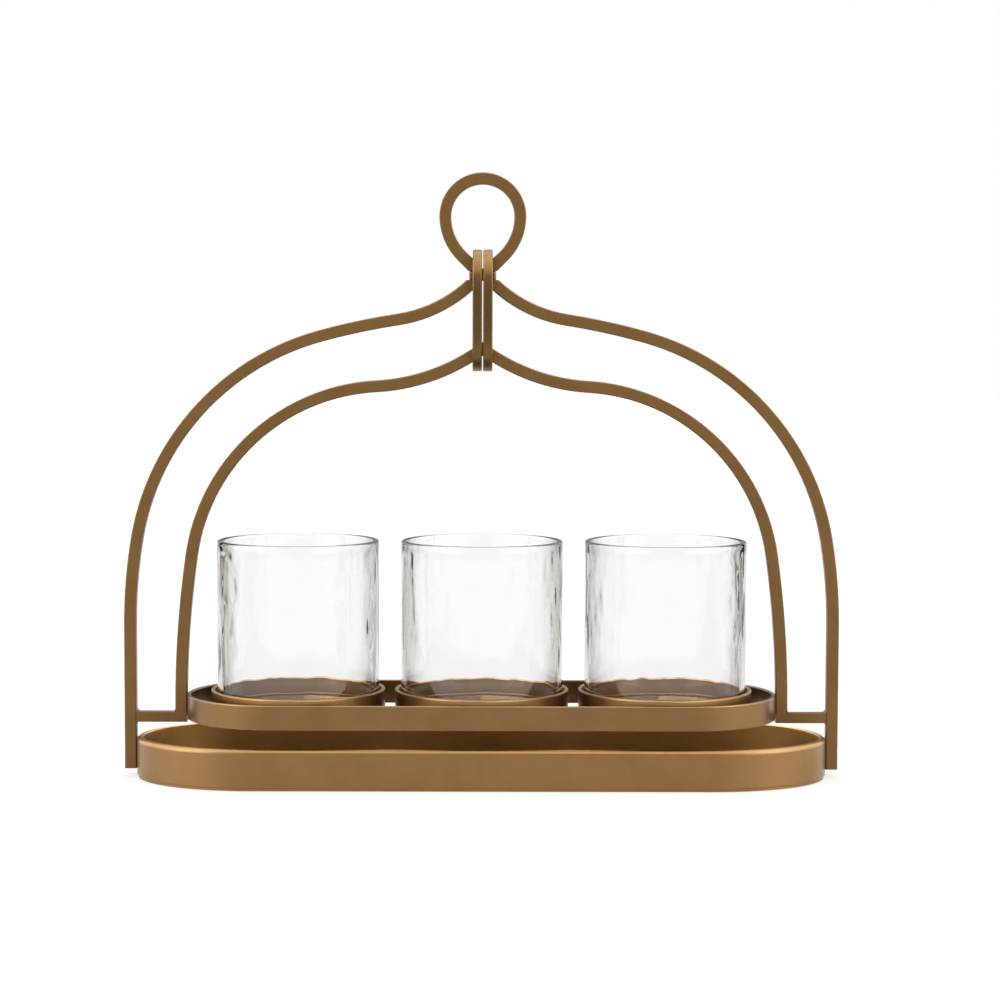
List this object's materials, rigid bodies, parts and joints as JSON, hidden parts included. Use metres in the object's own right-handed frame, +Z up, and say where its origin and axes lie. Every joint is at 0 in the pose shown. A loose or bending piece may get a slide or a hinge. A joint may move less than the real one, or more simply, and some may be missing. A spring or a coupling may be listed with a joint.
{
  "type": "hurricane candle holder stand",
  "caption": "Bronze metal stand of two nested pointed arches over an oval tray, with a ring to carry it and a raised oval band of round cups that hold clear glass hurricanes.",
  "frame": {"origin": "on the table, under the middle of the tray", "axes": "+X along the tray to the right as seen from the front, +Y to the back, +Z up"},
  "size_m": [0.4498, 0.1148, 0.3786],
  "materials": {
    "bronze": "satin antique bronze, faintly brushed",
    "clear_glass": "clear and glossy, rippled on the inside"
  },
  "bodies": {
    "stand": {"lower_tray_wall": "bronze", "lower_tray_floor": "bronze", "upper_band": "bronze", "cup_left": "bronze", "cup_center": "bronze", "cup_right": "bronze", "outer_arch_left": "bronze", "outer_arch_right": "bronze", "inner_arch_left": "bronze", "inner_arch_right": "bronze", "strut_left": "bronze", "strut_right": "bronze", "top_ring": "bronze", "neck_block": "bronze", "link_left": "bronze", "link_right": "bronze"},
    "hurricane_left": {"glass_left": "clear_glass"},
    "hurricane_center": {"glass_center": "clear_glass"},
    "hurricane_right": {"glass_right": "clear_glass"}
  },
  "joints": [
    {"name": "lift_left", "type": "slide", "parent": "stand", "child": "hurricane_left", "axis": [0, 0, 1], "range_m": [0, 0.025]},
    {"name": "lift_center", "type": "slide", "parent": "stand", "child": "hurricane_center", "axis": [0, 0, 1], "range_m": [0, 0.09]},
    {"name": "lift_right", "type": "slide", "parent": "stand", "child": "hurricane_right", "axis": [0, 0, 1], "range_m": [0, 0.025]}
  ]
}
